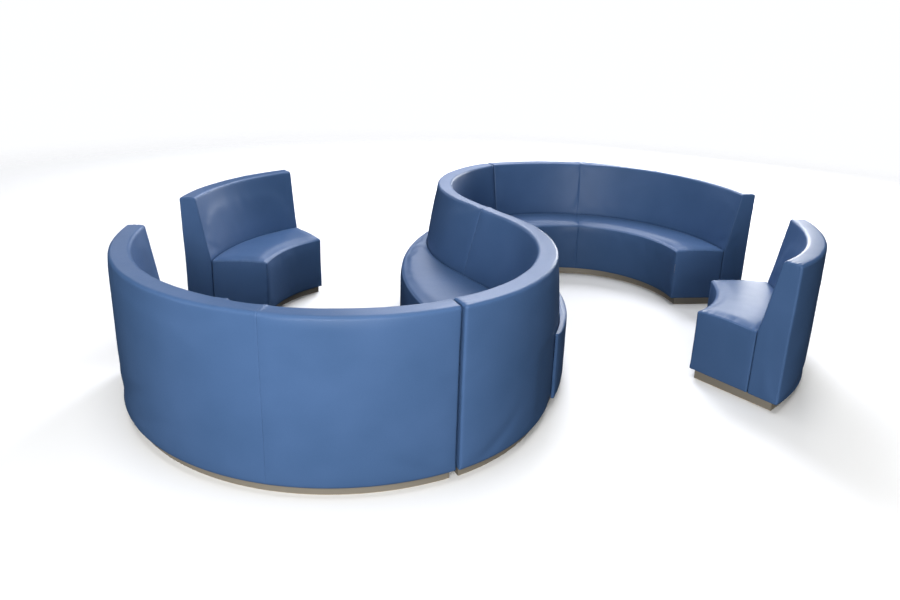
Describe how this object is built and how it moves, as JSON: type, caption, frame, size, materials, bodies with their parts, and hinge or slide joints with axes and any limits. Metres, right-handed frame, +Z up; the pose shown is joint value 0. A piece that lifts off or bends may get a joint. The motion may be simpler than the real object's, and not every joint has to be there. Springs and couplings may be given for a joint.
{
  "type": "modular sofa",
  "caption": "S-shaped modular banquette sofa in blue vinyl: a double-sided centre unit, long curved units at its ends and small curved seats, on recessed metal-faced plinths.",
  "frame": {"origin": "centre of the whole arrangement's plan box, on the floor", "axes": "+X along the longest extent, from the front long unit's side to the back long unit's side; +Y from the front small unit to the back small unit; +Z up"},
  "size_m": [4.5999, 3.6187, 0.905],
  "materials": {
    "blue_vinyl": "smooth upholstery vinyl, mid blue, soft satin sheen",
    "plywood": "unfinished birch plywood",
    "kick_metal": "brushed metal facing, warm grey",
    "zinc": "zinc-plated bolts"
  },
  "bodies": {
    "centre_unit": {"centre_back_cover": "blue_vinyl", "centre_back_frame": "plywood", "centre_base_panel": "plywood", "centre_kick_band": "kick_metal", "centre_left_bolts": "zinc", "centre_left_seat_cover": "blue_vinyl", "centre_left_seat_frame": "plywood", "centre_plinth_frame": "plywood", "centre_right_bolts": "zinc", "centre_right_seat_cover": "blue_vinyl", "centre_right_seat_frame": "plywood"},
    "front_long_unit": {"front_long_back_cover": "blue_vinyl", "front_long_back_frame": "plywood", "front_long_base_panel": "plywood", "front_long_bolts": "zinc", "front_long_kick_band": "kick_metal", "front_long_plinth_frame": "plywood", "front_long_seat_cover": "blue_vinyl", "front_long_seat_frame": "plywood"},
    "back_long_unit": {"back_long_back_cover": "blue_vinyl", "back_long_back_frame": "plywood", "back_long_base_panel": "plywood", "back_long_bolts": "zinc", "back_long_kick_band": "kick_metal", "back_long_plinth_frame": "plywood", "back_long_seat_cover": "blue_vinyl", "back_long_seat_frame": "plywood"},
    "back_small_unit": {"back_small_back_cover": "blue_vinyl", "back_small_back_frame": "plywood", "back_small_base_panel": "plywood", "back_small_bolts": "zinc", "back_small_kick_band": "kick_metal", "back_small_plinth_frame": "plywood", "back_small_seat_cover": "blue_vinyl", "back_small_seat_frame": "plywood"},
    "front_small_unit": {"front_small_back_cover": "blue_vinyl", "front_small_back_frame": "plywood", "front_small_base_panel": "plywood", "front_small_bolts": "zinc", "front_small_kick_band": "kick_metal", "front_small_plinth_frame": "plywood", "front_small_seat_cover": "blue_vinyl", "front_small_seat_frame": "plywood"}
  },
  "joints": [
    {"name": "front_long_slide", "type": "slide", "parent": "centre_unit", "child": "front_long_unit", "axis": [-0.9951, 0.0993, 0], "range_m": [0, 0.4]},
    {"name": "back_long_slide", "type": "slide", "parent": "centre_unit", "child": "back_long_unit", "axis": [0.9986, -0.0523, 0], "range_m": [0, 0.4]},
    {"name": "back_small_slide", "type": "slide", "parent": "centre_unit", "child": "back_small_unit", "axis": [-0.5075, 0.8616, 0], "range_m": [0, 0.3]},
    {"name": "front_small_slide", "type": "slide", "parent": "centre_unit", "child": "front_small_unit", "axis": [0.4848, -0.8746, 0], "range_m": [0, 0.3]}
  ]
}
